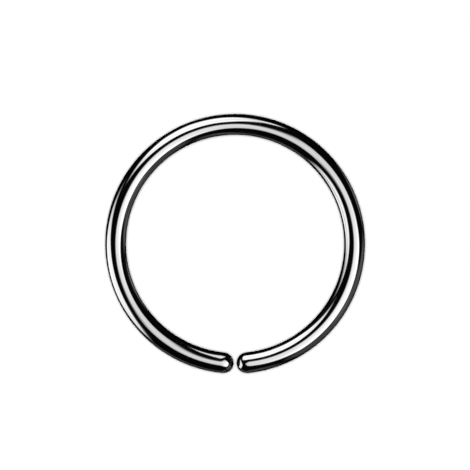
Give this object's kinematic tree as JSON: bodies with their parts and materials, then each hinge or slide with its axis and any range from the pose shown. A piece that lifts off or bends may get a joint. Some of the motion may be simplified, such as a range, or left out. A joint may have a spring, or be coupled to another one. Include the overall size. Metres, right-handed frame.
{
  "type": "seamless hoop ring",
  "caption": "Plain black steel hoop for a piercing: round wire bent into a circle, its domed ends nearly touching, twisted open to wear and closed with no clasp.",
  "frame": {"origin": "on the hoop's axis, at the surface it lies on", "axes": "+Z along the hoop's axis and up as it lies on its side; the gap between its ends is on the -Y side; +X to the right"},
  "size_m": [0.0124, 0.0125, 0.001],
  "materials": {
    "black_steel": "polished"
  },
  "bodies": {
    "root": {"hoop": "black_steel"}
  },
  "joints": []
}
